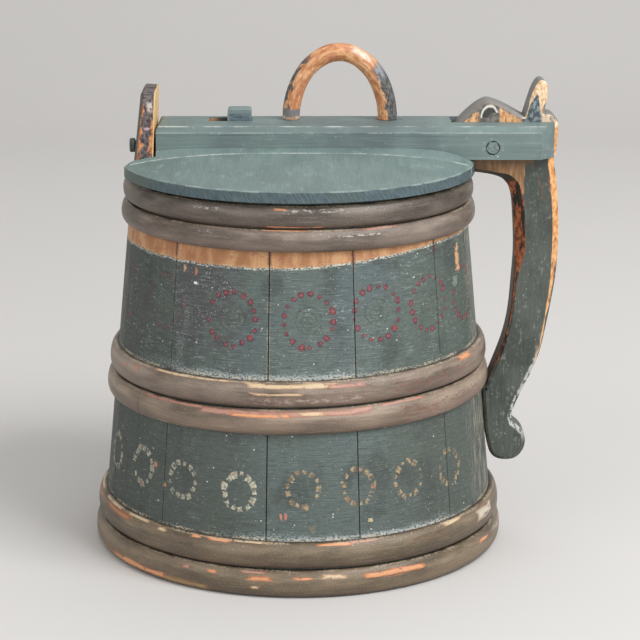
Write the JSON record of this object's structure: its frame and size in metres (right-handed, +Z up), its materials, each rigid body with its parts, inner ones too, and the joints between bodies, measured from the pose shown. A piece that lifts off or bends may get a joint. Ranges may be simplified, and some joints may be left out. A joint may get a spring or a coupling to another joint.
{
  "type": "staved wooden container",
  "caption": "Painted staved wooden container with branch hoops, a hinged lid with a bow handle and a sliding bolt, and a carved side handle.",
  "frame": {"origin": "centre of the whole object's box, on the floor it stands on", "axes": "+Z up, +X from the vessel towards its side handle, the picture looks along +Y"},
  "size_m": [0.3188, 0.2834, 0.3422],
  "materials": {
    "stave_paint": "worn blue-green paint on split staves",
    "hoop_branch": "dark worn branch wood, half round",
    "lid_paint": "worn pale blue-green paint",
    "bow_branch": "rubbed bare branch wood with remnants of dark paint",
    "bare_wood": "bare softwood",
    "handle_paint": "worn dark grey-green paint with bare edges"
  },
  "bodies": {
    "vessel": {"ear_stave": "stave_paint", "front_stave_1": "stave_paint", "front_stave_2": "stave_paint", "front_stave_3": "stave_paint", "front_stave_4": "stave_paint", "front_stave_5": "stave_paint", "handle_stave": "stave_paint", "rear_stave_1": "stave_paint", "rear_stave_2": "stave_paint", "rear_stave_3": "stave_paint", "rear_stave_4": "stave_paint", "rear_stave_5": "stave_paint", "top_hoop_upper": "hoop_branch", "top_hoop_lower": "hoop_branch", "middle_hoop_upper": "hoop_branch", "middle_hoop_lower": "hoop_branch", "bottom_hoop_upper": "hoop_branch", "bottom_hoop_lower": "hoop_branch", "base_board": "bare_wood", "side_handle": "handle_paint", "hinge_pin": "lid_paint", "handle_tenon_peg": "bare_wood", "handle_foot_peg": "bare_wood"},
    "lid": {"lid_board": "lid_paint", "cross_bar": "lid_paint", "bow_handle": "bow_branch", "bow_wedge_1": "bare_wood", "bow_wedge_2": "bare_wood"},
    "bolt": {"bolt": "handle_paint", "thumb_block": "lid_paint"}
  },
  "joints": [
    {"name": "lid_hinge", "type": "hinge", "parent": "vessel", "child": "lid", "pos_m": [0.11226, 0, 0.2751], "axis": [0, 1, 0], "range_deg": [0, 92]},
    {"name": "bolt_slide", "type": "slide", "parent": "lid", "child": "bolt", "axis": [-1, 0, 0], "range_m": [0, 0.0124]}
  ]
}
